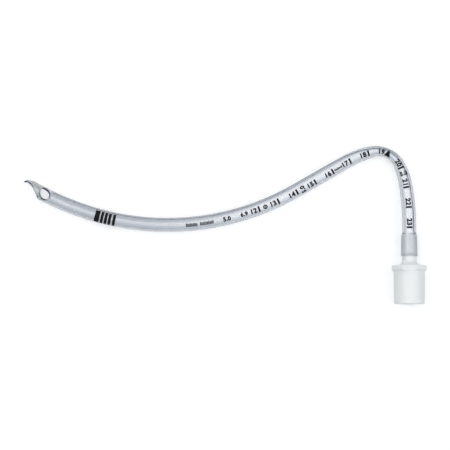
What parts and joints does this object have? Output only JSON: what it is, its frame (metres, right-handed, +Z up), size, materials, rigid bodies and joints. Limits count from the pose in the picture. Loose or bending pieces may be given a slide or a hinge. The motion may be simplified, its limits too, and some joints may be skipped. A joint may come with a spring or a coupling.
{
  "type": "endotracheal tube",
  "caption": "Preformed nasal breathing tube without a cuff: bevelled hooked tip, side eyes, tight bend near the machine end, and a tapered 15 mm connector pushed into it",
  "frame": {"origin": "centre of the connector's open mouth, on the connector's axis", "axes": "the part lies on a flat surface: +Z up, +Y along the connector from its mouth towards the tube (3.5 degrees down to the surface), and -X the way that the long run goes to the tip"},
  "size_m": [0.1976, 0.0779, 0.0164],
  "materials": {
    "tube": "clear soft PVC with a faint blue-grey cast",
    "connector": "milky natural polypropylene"
  },
  "bodies": {
    "root": {"tube": "tube", "connector": "connector"}
  },
  "joints": []
}
